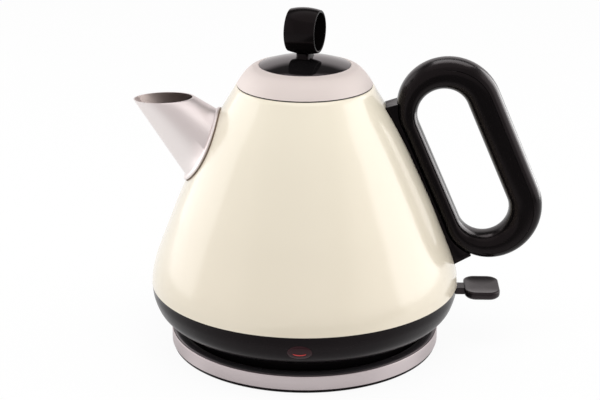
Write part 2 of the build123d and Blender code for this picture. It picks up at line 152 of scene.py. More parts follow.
def makeSmudge():
    group, ins, outs = newGroup("handSmudge", {"Low": 0.1, "High": 0.2}, ["Roughness"])
    patch = objectNoise(group, *smudge["patches"])
    wipe = objectNoise(group, *smudge["wipes"], smudge["wipeStretch"])
    share = smudge["wipeShare"]
    both = plus(group, times(group, patch, 1 - share), times(group, wipe, share))
    rough = mapRange(group, both, {"To Min": ins.outputs["Low"], "To Max": ins.outputs["High"]})
    linkNodes(group, rough, outs.inputs["Roughness"])
    return group


# moulded plastic and fired enamel: an even fine texture for bump and a broad mask for tint
grain = {"clouds": (60.0, 3.0), "detail": 3.0}


def makeGrain():
    group, ins, outs = newGroup("mouldGrain", {"Scale": 900.0}, ["Height", "Mask"])
    linkNodes(group, objectNoise(group, ins.outputs["Scale"], grain["detail"]), outs.inputs["Height"])
    linkNodes(group, objectNoise(group, *grain["clouds"]), outs.inputs["Mask"])
    return group


# brushed sheet: hair lines across one coordinate, a little wavy, and a broad mask for tint
brush = {"waves": (30.0, 2.0), "waveHeight": 0.0006, "clouds": (18.0, 3.0), "detail": 3.0}


def makeBrush():
    inputs = {"Across": 0.0, "Lines": 5000.0, "Low": 0.25, "High": 0.4}
    group, ins, outs = newGroup("brushLines", inputs, ["Roughness", "Height", "Mask"])
    drift = times(group, objectNoise(group, *brush["waves"]), brush["waveHeight"])
    place = plus(group, ins.outputs["Across"], drift)
    lines = addNode(group, "TexNoise", noise_dimensions="1D")
    linkNodes(group, times(group, place, ins.outputs["Lines"]), lines.inputs["W"])
    lines.inputs["Scale"].default_value = 1.0
    lines.inputs["Detail"].default_value = brush["detail"]
    hair = lines.outputs["Fac"]
    rough = mapRange(group, hair, {"To Min": ins.outputs["Low"], "To Max": ins.outputs["High"]})
    linkNodes(group, rough, outs.inputs["Roughness"])
    linkNodes(group, hair, outs.inputs["Height"])
    linkNodes(group, objectNoise(group, *brush["clouds"]), outs.inputs["Mask"])
    return group


# places that follow the round shape: along its slope for brushing, and the share of a height for tint
def makeRound():
    group, ins, outs = newGroup("roundPlace", {"Low": 0.0, "High": 0.2}, ["Across", "Share"])
    x, y, z = splitPlace(group, objectPlace(group))
    radius = mathNode(group, "SQRT", plus(group, times(group, x, x), times(group, y, y)))
    linkNodes(group, mathNode(group, "SUBTRACT", z, radius), outs.inputs["Across"])
    share = mapRange(group, z, {"From Min": ins.outputs["Low"], "From Max": ins.outputs["High"]})
    linkNodes(group, share, outs.inputs["Share"])
    return group


smudgeGroup = makeSmudge()
grainGroup = makeGrain()
brushGroup = makeBrush()
roundGroup = makeRound()


def placeGroup(tree, group, **values):
    node = addNode(tree, "Group", node_tree=group)
    for label, value in values.items():
        feed(tree, node.inputs[label], value)
    return node.outputs


def newMaterial(name, **constants):
    material = bpy.data.materials.new(name)
    material.use_nodes = True
    tree = material.node_tree
    shader = tree.nodes["Principled BSDF"]
    for label, value in constants.items():
        shader.inputs[label.replace("_", " ")].default_value = value
    return material, tree, shader


def tintBetween(tree, mask, first, second):
    mix = addNode(tree, "Mix", data_type="RGBA")
    linkNodes(tree, mask, mix.inputs["Factor"])
    mix.inputs[6].default_value = (*first, 1)  # sockets 6, 7 and 2 are the colour ones
    mix.inputs[7].default_value = (*second, 1)
    return mix.outputs[2]


def addBump(tree, shader, height, strength, distance):
    bump = addNode(tree, "Bump")
    bump.inputs["Strength"].default_value = strength
    bump.inputs["Distance"].default_value = distance
    linkNodes(tree, height, bump.inputs["Height"])
    linkNodes(tree, bump.outputs["Normal"], shader.inputs["Normal"])


def addSmudge(tree, shader, rough):
    smudgeOut = placeGroup(tree, smudgeGroup, Low=rough[0], High=rough[1])
    linkNodes(tree, smudgeOut["Roughness"], shader.inputs["Roughness"])


bumpDepth = {"moulded": 0.0002, "brushed": 0.0001}
finishes = {}


def mouldedMaterial(name, tints, rough, grain, bump, **constants):
    material, tree, shader = newMaterial(name, **constants)
    grainOut = placeGroup(tree, grainGroup, Scale=grain)
    linkNodes(tree, tintBetween(tree, grainOut["Mask"], *tints), shader.inputs["Base Color"])
    addSmudge(tree, shader, rough)
    addBump(tree, shader, grainOut["Height"], bump, bumpDepth["moulded"])
    return material


def brushedMaterial(name, tints, rough, lines, bump, across=None):
    material, tree, shader = newMaterial(name, Metallic=1.0)
    if across is None:
        place = placeGroup(tree, roundGroup)["Across"]
    else:
        dot = addNode(tree, "VectorMath", operation="DOT_PRODUCT")
        linkNodes(tree, objectPlace(tree), dot.inputs[0])
        dot.inputs[1].default_value = across
        place = dot.outputs["Value"]
    brushOut = placeGroup(tree, brushGroup, Across=place, Lines=lines, Low=rough[0], High=rough[1])
    linkNodes(tree, tintBetween(tree, brushOut["Mask"], *tints), shader.inputs["Base Color"])
    linkNodes(tree, brushOut["Roughness"], shader.inputs["Roughness"])
    addBump(tree, shader, brushOut["Height"], bump, bumpDepth["brushed"])
    return material


spoutLean = math.radians(44.1)
spoutWay = Vector((-math.cos(spoutLean), 0, math.sin(spoutLean)))
metals = {  # two tints, roughness from and to, hair lines per metre, bump
    "lidSteel": {
        "tints": ((0.725, 0.675, 0.645), (0.77, 0.72, 0.69)), "rough": (0.70, 0.80), "lines": 4200.0, "bump": 0.04,
    },
    "spoutSteel": {
        "tints": ((0.77, 0.715, 0.70), (0.82, 0.765, 0.75)), "rough": (0.34, 0.44), "lines": 3600.0, "bump": 0.04,
        "across": tuple(spoutWay),
    },
    # a darker copy of the spout's steel for the spout's inside: painted shade
    "spoutInnerShade": {
        "tints": ((0.47, 0.41, 0.385), (0.54, 0.47, 0.445)), "rough": (0.52, 0.62), "lines": 3600.0, "bump": 0.04,
        "across": tuple(spoutWay),
    },
    "bandSteel": {
        "tints": ((0.54, 0.475, 0.48), (0.61, 0.545, 0.55)), "rough": (0.30, 0.42), "lines": 6000.0, "bump": 0.05,
    },
    "innerSteel": {
        "tints": ((0.58, 0.56, 0.54), (0.66, 0.64, 0.62)), "rough": (0.28, 0.42), "lines": 3000.0, "bump": 0.05,
    },
    "castAluminium": {
        "tints": ((0.62, 0.62, 0.63), (0.70, 0.70, 0.71)), "rough": (0.40, 0.55), "lines": 900.0, "bump": 0.1,
    },
    "contactBrass": {
        "tints": ((0.62, 0.42, 0.16), (0.72, 0.52, 0.22)), "rough": (0.25, 0.36), "lines": 2000.0, "bump": 0.05,
    },
}
warmGloss = (1.0, 0.83, 0.86, 1.0)  # the black plastics mirror a little warm
plastics = {  # two tints, roughness from and to, grain per metre, bump, gloss
    "glossBlack": {
        "tints": ((0.0022, 0.0017, 0.0018), (0.0036, 0.0029, 0.0030)), "rough": (0.11, 0.18), "grain": 1400.0,
        "bump": 0.015, "Specular_IOR_Level": 0.10, "Specular_Tint": warmGloss,
    },
    "handleBlack": {
        "tints": ((0.0034, 0.0028, 0.0030), (0.0048, 0.0041, 0.0043)), "rough": (0.16, 0.24), "grain": 1400.0,
        "bump": 0.015, "Specular_IOR_Level": 0.12, "Specular_Tint": warmGloss,
    },
    "discBlack": {
        "tints": ((0.004, 0.0035, 0.0038), (0.006, 0.0055, 0.0058)), "rough": (0.04, 0.08), "grain": 1400.0,
        "bump": 0.006, "Specular_Tint": warmGloss,
    },
    "satinBlack": {
        "tints": ((0.0034, 0.0028, 0.0032), (0.0052, 0.0044, 0.0050)), "rough": (0.18, 0.25), "grain": 1600.0,
        "bump": 0.03, "Specular_IOR_Level": 0.12, "Specular_Tint": warmGloss,
    },
    "trayBlack": {
        "tints": ((0.026, 0.024, 0.026), (0.032, 0.030, 0.032)), "rough": (0.24, 0.34), "grain": 1600.0,
        "bump": 0.012, "Specular_Tint": warmGloss,
    },
    "leverGrey": {
        "tints": ((0.0055, 0.0046, 0.0052), (0.0080, 0.0068, 0.0076)), "rough": (0.24, 0.32), "grain": 1600.0,
        "bump": 0.05, "Specular_IOR_Level": 0.32, "Specular_Tint": warmGloss,
    },
    "lensRed": {
        "tints": ((0.016, 0.0035, 0.0055), (0.026, 0.005, 0.0075)), "rough": (0.06, 0.12), "grain": 1200.0,
        "bump": 0.01, "Specular_IOR_Level": 0.2,
    },
    "footRubber": {
        "tints": ((0.02, 0.02, 0.02), (0.03, 0.03, 0.03)), "rough": (0.62, 0.8), "grain": 2400.0, "bump": 0.25,
    },
    "innerPlastic": {
        "tints": ((0.42, 0.41, 0.38), (0.50, 0.49, 0.46)), "rough": (0.40, 0.52), "grain": 1500.0, "bump": 0.12,
    },
    "softSilicone": {
        "tints": ((0.55, 0.54, 0.50), (0.62, 0.61, 0.57)), "rough": (0.42, 0.55), "grain": 1800.0, "bump": 0.15,
    },
    # brown of the ring at the spout's bead: painted gap shadow
    "sealBrown": {
        "tints": ((0.15, 0.10, 0.075), (0.20, 0.14, 0.105)), "rough": (0.5, 0.65), "grain": 1800.0, "bump": 0.1,
    },
}
for name, values in metals.items():
    finishes[name] = brushedMaterial(name, **values)
for name, values in plastics.items():
    finishes[name] = mouldedMaterial(name, **values)

# fired cream enamel: colour drifts a little from shoulder to skirt, with a faint ripple
enamel = {
    "topColor": (0.79, 0.725, 0.59),
    "lowColor": (0.755, 0.68, 0.55),
    "tintFrom": (0.04, 0.17),
    "clouds": 0.15,
    "rough": (0.16, 0.23),
    "coat": 0.5,
    "coatRough": 0.12,
    "grain": 260.0,
    "ripple": 0.02,
}


def makeEnamel():
    coat = {"Coat_Weight": enamel["coat"], "Coat_Roughness": enamel["coatRough"]}
    material, tree, shader = newMaterial("creamEnamel", **coat)
    low, high = enamel["tintFrom"]
    place = placeGroup(tree, roundGroup, Low=low, High=high)
    grainOut = placeGroup(tree, grainGroup, Scale=enamel["grain"])
    drift = plus(tree, place["Share"], times(tree, grainOut["Mask"], enamel["clouds"]))
    color = tintBetween(tree, drift, enamel["lowColor"], enamel["topColor"])
    linkNodes(tree, color, shader.inputs["Base Color"])
    addSmudge(tree, shader, enamel["rough"])
    addBump(tree, shader, grainOut["Height"], enamel["ripple"], bumpDepth["moulded"])
    return material


# lamp's lit strip: a red that drifts a little
glow = {
    "strength": 0.38,
    "light": ((0.75, 0.02, 0.02), (0.95, 0.05, 0.04)),
    "paint": ((0.16, 0.004, 0.005), (0.22, 0.006, 0.007)),
    "grain": 700.0,
}


def makeGlow():
    material, tree, shader = newMaterial("lampGlow", Emission_Strength=glow["strength"])
    mask = placeGroup(tree, grainGroup, Scale=glow["grain"])["Mask"]
    linkNodes(tree, tintBetween(tree, mask, *glow["light"]), shader.inputs["Emission Color"])
    linkNodes(tree, tintBetween(tree, mask, *glow["paint"]), shader.inputs["Base Color"])
    return material


finishes["creamEnamel"] = makeEnamel()
finishes["lampGlow"] = makeGlow()
print("materials made:", len(finishes))


# smooth line through knots, as a pulled curve
def pulledLine(knots, steps=10):
    points = [Vector((r, 0, z)) for r, z in knots]
    ends = [2 * points[0] - points[1], *points, 2 * points[-1] - points[-2]]
    line = []
    for index in range(len(points) - 1):
        before, start, end, after = ends[index : index + 4]
        pullStart = start + (end - before) / 6
        pullEnd = end - (after - start) / 6
        span = interpolate_bezier(start, pullStart, pullEnd, end, steps + 1)
        line += [(p.x, p.z) for p in span[:-1]]
    return line + [knots[-1]]


# quarter or longer arc about a centre, angles in degrees
def roundLine(centre, radius, start, end, steps=8):
    turns = [math.radians(start + (end - start) * step / steps) for step in range(steps + 1)]
    return [(centre[0] + radius * math.cos(t), centre[1] + radius * math.sin(t)) for t in turns]


def radiusAt(line, height):
    for (r0, z0), (r1, z1) in zip(line, line[1:]):
        if min(z0, z1) <= height <= max(z0, z1) and z0 != z1:
            return r0 + (r1 - r0) * (height - z0) / (z1 - z0)
    return line[0][0] if abs(height - line[0][1]) < abs(height - line[-1][1]) else line[-1][0]


# closed section turned round the upright axis; points are (radius, height)
def spinSection(section, steps=turnSteps):
    bm = bmesh.new()
    corners = [bm.verts.new((r, 0, z)) for r, z in section]
    pairs = zip(corners, corners[1:] + corners[:1])
    edges = [bm.edges.new((a, b)) for a, b in pairs if a.co.x + b.co.x > 1e-6]  # none along the axis
    bmesh.ops.spin(
        bm, geom=corners + edges, cent=(0, 0, 0), axis=(0, 0, 1), angle=math.tau, steps=steps, use_merge=True
    )
    bmesh.ops.remove_doubles(bm, verts=bm.verts, dist=mergeWithin)
    return bm


def ringEdges(bm, ring):
    return [bm.edges.get((a, b)) for a, b in zip(ring, ring[1:] + ring[:1])]


# rings of one count pulled out of each other; place(stage, index) gives each point
def pullRings(count, stages, place, closed=False):
    bm = bmesh.new()
    ring = bmesh.ops.create_circle(bm, segments=count, radius=1.0, cap_ends=False)["verts"]
    first = ring
    for stage in range(stages):
        if stage:
            made = bmesh.ops.extrude_edge_only(bm, edges=ringEdges(bm, ring))["geom"]
            newVerts = {v for v in made if isinstance(v, bmesh.types.BMVert)}
            ring = [next(e.other_vert(v) for e in v.link_edges if e.other_vert(v) in newVerts) for v in ring]
        for index, vert in enumerate(ring):
            vert.co = place(stage, index)
    loops = [ringEdges(bm, first), ringEdges(bm, ring)]
    if closed:
        bmesh.ops.bridge_loops(bm, edges=loops[0] + loops[1])
    else:
        for loop in loops:
            bmesh.ops.contextual_create(bm, geom=loop)
    return bm


def roundedOutline(width, depth, radius, perCorner):
    points = []
    for cx, cy, start in ((1, 1, 0), (-1, 1, 90), (-1, -1, 180), (1, -1, 270)):
        centre = (cx * (width / 2 - radius), cy * (depth / 2 - radius))
        points += roundLine(centre, radius, start, start + 90, perCorner - 1)
    return points


def addObject(name, data):
    thing = bpy.data.objects.new(name, data)
    bpy.context.scene.collection.objects.link(thing)
    return thing


def meshObject(bm, name):
    mesh = bpy.data.meshes.new(name)
    bm.to_mesh(mesh)
    bm.free()
    return addObject(name, mesh)


# a shape in millimetres becomes an object in metres
def solidObject(bm, name):
    bmesh.ops.recalc_face_normals(bm, faces=bm.faces)
    bmesh.ops.scale(bm, vec=(milli, milli, milli), verts=bm.verts)
    return meshObject(bm, name)


def smoothShade(piece, sharp):
    piece.data.shade_smooth()
    piece.data.set_sharp_from_angle(angle=math.radians(sharp))


def dressPiece(piece, body, finish, nodes):
    piece.data.materials.clear()
    piece.data.materials.append(finishes[finish])
    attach(piece, body)
    if nodes:
        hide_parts(*nodes)
    return piece


def finishPiece(bm, name, body, finish, nodes=(), sharp=40.0):
    piece = solidObject(bm, name)
    smoothShade(piece, sharp)
    return dressPiece(piece, body, finish, nodes)


def boxTool(name, low, high):
    middle = (Vector(low) + Vector(high)) / 2
    size = Vector(high) - Vector(low)
    bm = bmesh.new()
    bmesh.ops.create_cube(bm, size=1.0, matrix=Matrix.Translation(middle) @ Matrix.Diagonal((*size, 1)))
    return solidObject(bm, name)


# round bar along y; stretch widens it in x and z
def barTool(name, middle, radius, length, stretch=(1, 1, 1), facets=48):
    place = Matrix.Translation(middle) @ Matrix.Diagonal((*stretch, 1)) @ Matrix.Rotation(math.radians(90), 4, "X")
    bm = bmesh.new()
    bmesh.ops.create_cone(
        bm, cap_ends=True, segments=facets, radius1=radius, radius2=radius, depth=length, matrix=place
    )
    return solidObject(bm, name)


def combine(piece, tools, operation="DIFFERENCE", sharp=40.0):
    for tool in tools:
        change = piece.modifiers.new("combine", "BOOLEAN")
        change.operation = operation
        change.solver = "EXACT"
        change.object = tool
    graph = bpy.context.evaluated_depsgraph_get()
    mesh = bpy.data.meshes.new_from_object(piece.evaluated_get(graph))
    piece.modifiers.clear()
    mesh.name = piece.name
    piece.data = mesh
    for tool in tools:
        bpy.data.objects.remove(tool)
    smoothShade(piece, sharp)


# CAD solid with merged facets and softened edges; the rounding is in millimetres
def smoothCopy(node, name, body, finish, rounding=0.3, sharp=32.0):
    bm = bmesh.new()
    bm.from_mesh(frame["nodes"][node].data)
    bmesh.ops.remove_doubles(bm, verts=bm.verts, dist=1e-6)  # in metres
    bmesh.ops.dissolve_degenerate(bm, edges=bm.edges, dist=1e-7)
    piece = meshObject(bm, name)
    piece.data.shade_smooth()
    soften = piece.modifiers.new("edgeRounding", "BEVEL")
    soften.width = rounding * milli
    soften.segments = 2
    soften.limit_method = "ANGLE"
    soften.angle_limit = math.radians(sharp)
    soften.harden_normals = True
    return dressPiece(piece, body, finish, (node,))


# enamelled body: radius and height from the skirt seam to the mouth, and the rolled mouth
body = {
    "side": [(97.0, 42.1), (96.1, 49.5), (93.2, 60.0), (85.5, 80.0), (77.4, 100.0), (58.8, 140.0), (42.3, 168.3)],
    "wall": 1.3,
    "innerTop": (42.9, 166.9),
    "lip": [(42.0, 168.45), (41.6, 168.5)],
    "mouthTop": 168.5,
    "neckRadius": 38.4,
    "neckWall": 1.0,
    "neckHeights": (158.0, 167.2),
    "lineSteps": 12,
}
spout = {
    "point": Vector((-81.6, 0, 150.0)),
    "way": spoutWay,
    "radius": 15.9,
    "taper": 0.2247,
    "wall": 0.9,
    "hole": (-62.0, 24.0),
    "holeFacets": 96,
    "rootWithin": (-58.0, 12.0),
    "rimPoint": Vector((-86, 0, 159.3)),
    "rimSlope": 1.8,
    "rimRound": (0.12, 0.02),
    "bead": 1.9,
    "beadShape": [(0.2, 0.12), (0.75, 0.22), (1.0, 0.55), (0.92, 0.85), (0.62, 1.05), (0.22, 1.12)],
    "wallFrom": 1.35,
    "wallShares": [0.0, 0.25, 0.5, 0.75, 0.97],
    "innerStages": 4,
    "innerFrom": 0.7,  # share of the wall where the darker inner steel starts: painted shade inside the spout
    "sealPlace": (0.95, 0.3),  # share of the bead, and height
    "seal": 0.32,
    "facets": 144,
}
bodyLine = pulledLine(body["side"], body["lineSteps"])


def spoutHole():
    start, end = spout["hole"]
    sizes = [spout["radius"] - spout["taper"] * along - spout["wall"] for along in (start, end)]
    middle = spout["point"] + spout["way"] * (start + end) / 2
    turn = Vector((0, 0, 1)).rotation_difference(spout["way"]).to_matrix().to_4x4()
    bm = bmesh.new()
    bmesh.ops.create_cone(
        bm, cap_ends=True, segments=spout["holeFacets"], radius1=sizes[0], radius2=sizes[1],
        depth=end - start, matrix=Matrix.Translation(middle) @ turn,
    )
    return solidObject(bm, "spoutHole")


def makeBody():
    innerLine = pulledLine(body["side"][:-1] + [body["innerTop"]], body["lineSteps"])
    inner = [(r - body["wall"], z) for r, z in reversed(innerLine)]
    neck = body["neckRadius"]
    behind = neck + body["neckWall"]
    low, root = body["neckHeights"]
    throat = [(neck, body["mouthTop"]), (neck, low), (behind, low), (behind, root)]
    bm = spinSection(bodyLine + body["lip"] + throat + inner)
    piece = finishPiece(bm, "enamelBody", "kettle", "creamEnamel", ("body_shell",))
    combine(piece, [spoutHole()])


makeBody()
print("body made")


# spout: straight cone walls from a rolled bead on the body to a thin slanted rim
def spoutPoint(turn, along, grow):
    side = Vector((0, 1, 0))
    up = spout["way"].cross(side)
    out = side * math.cos(turn) + up * math.sin(turn)
    radius = spout["radius"] - spout["taper"] * along + grow
    return spout["point"] + spout["way"] * along + out * radius, out


# where a line of the cone meets the body, found by halving
def rootAlong(turn, grow):
    low, high = spout["rootWithin"]
    for _ in range(40):
        middle = (low + high) / 2
        point, out = spoutPoint(turn, middle, grow)
        outside = math.hypot(point.x, point.y) > radiusAt(bodyLine, point.z)
        low, high = (low, middle) if outside else (middle, high)
    return high


def rimAlong(turn, grow):
    lean = math.radians(spout["rimSlope"])
    normal = Vector((-math.sin(lean), 0, math.cos(lean)))
    start, out = spoutPoint(turn, 0.0, grow)
    end, out = spoutPoint(turn, 1.0, grow)
    return (spout["rimPoint"] - start).dot(normal) / (end - start).dot(normal)


# a point beside the spout's root: away along the body's surface, then up from it
def onBody(turn, root, across, height):
    point, out = spoutPoint(turn, root, 0.0)
    radial = Vector((point.x, point.y, 0)).normalized()
    slope = (radiusAt(bodyLine, point.z + 1) - radiusAt(bodyLine, point.z - 1)) / 2
    normal = (radial - Vector((0, 0, slope))).normalized()
    away = (out - normal * out.dot(normal)).normalized()
    return point + away * across + normal * height


def makeSpout():
    count = spout["facets"]
    wall = spout["wall"]
    bead = spout["bead"]
    beadShape = spout["beadShape"]
    shares = spout["wallShares"]
    innerStages = spout["innerStages"]
    turns = [math.tau * index / count for index in range(count)]
    roots = [rootAlong(turn, 0.0) for turn in turns]
    innerRoots = [rootAlong(turn, -wall) for turn in turns]
    edge, drop = spout["rimRound"]
    rimRings = [(-edge, drop), (-wall / 2, 0.0), (-wall + edge, drop)]  # inwards, and down from the rim

    def place(stage, index):
        turn = turns[index]
        root = roots[index]
        rim = rimAlong(turn, 0.0)
        if stage < len(beadShape):
            across, height = beadShape[stage]
            return onBody(turn, root, bead * across, bead * height)
        stage -= len(beadShape)
        if stage < len(shares):
            start = root + bead * spout["wallFrom"]
            return spoutPoint(turn, start + (rim - start) * shares[stage], 0.0)[0]
        stage -= len(shares)
        if stage < len(rimRings):
            grow, drop = rimRings[stage]
            return spoutPoint(turn, rimAlong(turn, grow) - drop, grow)[0]
        share = (stage - len(rimRings) + 1) / innerStages
        return spoutPoint(turn, rim + (innerRoots[index] - rim) * share, -wall)[0]

    stages = len(beadShape) + len(shares) + len(rimRings) + innerStages
    bm = pullRings(count, stages, place, closed=True)
    piece = finishPiece(bm, "spoutCone", "kettle", "spoutSteel", ("spout",), sharp=60)
    # faces inside the spout take the darker steel: painted shade
    piece.data.materials.append(finishes["spoutInnerShade"])
    for face in piece.data.polygons:
        middle = face.center / milli - spout["point"]
        along = middle.dot(spout["way"])
        out = (middle - spout["way"] * along).length
        face.material_index = int(out < spout["radius"] - spout["taper"] * along - wall * spout["innerFrom"])

    # a brown ring round the bead's foot where it meets the body: painted gap shadow
    share, height = spout["sealPlace"]
    sealRound = roundLine((bead * share, height), spout["seal"], 0, 360, 10)[:-1]

    def placeGapShadow(stage, index):
        return onBody(turns[index], roots[index], *sealRound[stage])

    bm = pullRings(count, len(sealRound), placeGapShadow, closed=True)
    finishPiece(bm, "spoutSeal", "kettle", "sealBrown", sharp=60)


makeSpout()
print("spout made")

# black skirt under the body, with the lamp at its front and the switch's slot at its right
skirt = {
    "side": [(96.9, 42.1), (96.0, 34.5), (92.4, 26.2), (85.0, 20.4), (76.0, 18.0)],
    "wall": 2.2,
    "floor": 20.4,
    "low": 18.0,
    "foot": (71.0, 75.0, 9.0),
    "plate": (22.0, 76.0),
    "collar": [(91.5, 39.6), (91.5, 42.1)],
    "slotLow": (89.0, -5.1, 29.2),
    "slotHigh": (101.0, 5.1, 38.2),
}
lamp = {
    "height": 31.8,
    "width": 15.0,
    "tall": 10.2,
    "hole": (-95.0, 40.0),
    "rings": [(0.98, -3.6), (0.98, 0.05), (0.93, 0.3), (0.82, 0.55), (0.6, 0.78), (0.3, 0.88), (0.08, 0.9)],
    "facets": 64,
}
strip = {
    "half": 3.9, "roundOff": 4.1, "tall": 0.42, "deep": 0.3, "drop": 1.3, "curl": 0.045, "stand": 0.72,
    "thinnest": 0.04, "facets": 10, "stages": 16,
}
skirtLine = pulledLine(skirt["side"], 10)


def makeSkirt():
    inner, outer, low = skirt["foot"]
    foot = [(outer, skirt["low"]), (outer, low), (inner, low), (inner, skirt["low"])]
    inside = [(r - skirt["wall"], z) for r, z in reversed(pulledLine(skirt["side"][1:-1], 8))]
    bore, edge = skirt["plate"]
    plate = [(bore, skirt["low"]), (bore, skirt["floor"]), (edge, skirt["floor"])]
    bm = spinSection(skirtLine + foot + plate + inside + skirt["collar"])
    piece = finishPiece(bm, "skirtMoulding", "kettle", "satinBlack", ("base_skirt",))
    place, depth = lamp["hole"]
    oval = (lamp["width"] / 2, 1, lamp["tall"] / 2)
    lampHole = barTool("lampHole", (0, place, lamp["height"]), 1.0, depth, oval, lamp["facets"])
    combine(piece, [boxTool("switchSlot", skirt["slotLow"], skirt["slotHigh"]), lampHole])


def onSkirt(x, height, stand):
    radius = radiusAt(skirtLine, height) + stand
    return Vector((x, -math.sqrt(radius * radius - x * x), height))


def makeLamp():
    count = lamp["facets"]
    outline = [(math.cos(math.tau * i / count), math.sin(math.tau * i / count)) for i in range(count)]

    def place(stage, index):
        size, stand = lamp["rings"][stage]
        x, z = outline[index]
        return onSkirt(x * size * lamp["width"] / 2, lamp["height"] + z * size * lamp["tall"] / 2, stand)

    bm = pullRings(count, len(lamp["rings"]), place)
    finishPiece(bm, "lampLens", "kettle", "lensRed", ("lamp_lens",), sharp=50)

    def placeStrip(stage, index):
        x = -strip["half"] + 2 * strip["half"] * stage / strip["stages"]
        turn = math.tau * index / strip["facets"]
        thin = strip["tall"] * math.sqrt(max(strip["thinnest"], 1 - (x / strip["roundOff"]) ** 2))
        middle = onSkirt(x, lamp["height"] - strip["drop"] + strip["curl"] * x * x, strip["stand"])
        return middle + Vector((0, math.cos(turn) * strip["deep"], math.sin(turn) * thin))

    bm = pullRings(strip["facets"], strip["stages"] + 1, placeStrip)
    finishPiece(bm, "lampStrip", "kettle", "lampGlow", sharp=60)


makeSkirt()
makeLamp()
print("skirt and lamp made")

# lid: steel cone, black disc, ring knob
lid = {
    "dome": [(41.7, 169.3), (39.6, 172.6), (36.6, 176.4), (32.9, 179.5), (28.5, 181.1)],
    "flat": 180.2,
    "sheet": 0.9,
    "underWithin": (170.5, 179.2),
    "underRadius": 27.6,
    "discRadius": 28.2,
    "discGap": 0.1,
    "seatDrop": 0.05,
    "discEdge": 181.1,
    "discCrown": 186.2,
    "discRound": [(0.0, 0.25), (0.1, 0.02)],
    "discTop": 0.35,
    "discSteps": 16,
    # inner and outer radius, low and high, of the dark ring under the lid's edge: painted seam shadow
    "edgeShadow": (40.4, 41.35, 168.55, 169.6),
}
knob = {
    "turn": -16.0,
    "centre": 202.2,
    "midRadius": 14.2,
    "endRadius": 12.9,
    "length": 19.2,
    "midWall": 2.0,
    "endWall": 1.4,
    "lip": 0.5,
    "lipArc": (15, 165, 8),
    "neck": (8.0, 12.6),
    "neckCorner": 2.0,
    "neckRings": [(1.0, 182.0), (1.14, 185.7), (1.04, 186.5), (1.0, 187.3), (1.0, 189.0)],
    "facets": 128,
}


def makeLid():
    dome = pulledLine(lid["dome"], 10)
    flat = lid["flat"]
    sheet = lid["sheet"]
    low = flat - sheet
    seat = lid["discRadius"] + lid["discGap"]
    rise, limit = lid["underWithin"]
    under = [(r - sheet, z - sheet / 2 * (z > rise)) for r, z in reversed(dome) if z < limit]
    middle = [(seat, dome[-1][1] - lid["seatDrop"]), (seat, flat), (0, flat), (0, low), (lid["underRadius"], low)]
    bm = spinSection(dome + middle + under)
    finishPiece(bm, "lidDome", "lid", "lidSteel", ("lid_cover",), sharp=50)

    radius = lid["discRadius"]
    sag = lid["discCrown"] - lid["discEdge"]
    ball = (radius**2 + sag**2) / (2 * sag)
    radii = [(radius - lid["discTop"]) * (1 - step / lid["discSteps"]) for step in range(lid["discSteps"] + 1)]
    top = [(r, lid["discCrown"] - ball + math.sqrt(ball * ball - r * r)) for r in radii]
    rounding = [(radius - across, lid["discEdge"] - drop) for across, drop in lid["discRound"]]
    bm = spinSection([(0, flat), (radius, flat), *rounding, *top])
    finishPiece(bm, "lidDisc", "lid", "discBlack", ("lid_disc",), sharp=60)

    # a dark ring under the lid's edge: painted shadow of the seam between lid and mouth
    inner, outer, low, high = lid["edgeShadow"]
    bm = spinSection([(inner, low), (outer, low), (outer, high), (inner, high)])
    finishPiece(bm, "lidGasket", "lid", "footRubber")


def makeKnob():
    half = knob["length"] / 2
    edge = knob["lip"]

    def crown(middle, end):
        sag = middle - end
        ball = (half * half + sag * sag) / (2 * sag)
        limit = math.asin((half - edge) / ball)
        turns = [limit * (step / 10 - 1) for step in range(21)]
        return [(middle - ball + ball * math.cos(t), ball * math.sin(t)) for t in turns]

    outer = crown(knob["midRadius"], knob["endRadius"])
    bore = crown(knob["midRadius"] - knob["midWall"], knob["endRadius"] - knob["endWall"])
    middle = (outer[-1][0] + bore[-1][0]) / 2
    wide = (outer[-1][0] - bore[-1][0]) / 2
    lip = [(middle + wide * r, half - edge + edge * z) for r, z in roundLine((0, 0), 1.0, *knob["lipArc"])]
    mirrored = [(r, -z) for r, z in reversed(lip)]
    spinTurn = Matrix.Rotation(math.radians(knob["turn"]), 3, "Z")
    bm = spinSection(outer + lip + list(reversed(bore)) + mirrored, knob["facets"])
    bmesh.ops.rotate(bm, cent=(0, 0, 0), matrix=Matrix.Rotation(math.radians(90), 3, "Y"), verts=bm.verts)
    bmesh.ops.rotate(bm, cent=(0, 0, 0), matrix=spinTurn, verts=bm.verts)
    bmesh.ops.translate(bm, vec=(0, 0, knob["centre"]), verts=bm.verts)
    piece = finishPiece(bm, "lidKnob", "lid", "glossBlack", ("lid_knob",), sharp=60)

    outline = roundedOutline(*knob["neck"], knob["neckCorner"], 6)

    def place(stage, index):
        size, height = knob["neckRings"][stage]
        x, y = outline[index]
        return spinTurn @ Vector((x * size, y * size, height))

    bm = pullRings(len(outline), len(knob["neckRings"]), place)
    combine(piece, [solidObject(bm, "knobNeck")], "UNION", sharp=50)


makeLid()
makeKnob()
print("lid made")

# handle: a loop round a long finger hole, thick at the grip and thin at the body
handle = {
    "holeTop": (85.2, 151.4),
    "holeBottom": (111.8, 90.3),
    "holeRadius": 16.0,
    "gripThick": 20.8,
    "legThick": 10.5,
    "swell": 1.05,
    "width": 23.0,
    "squareness": 2.35,
    "groovePlace": 0.36,
    "grooveWide": 0.03,
    "grooveDeep": 0.3,
    "grooveClear": 0.05,
    "grooveFrom": 0.55,
    "grooveTo": 0.3,
    "grooveFade": 6,
    "turnSteps": 56,
    "arcSteps": 44,
    "straightSteps": 12,
}


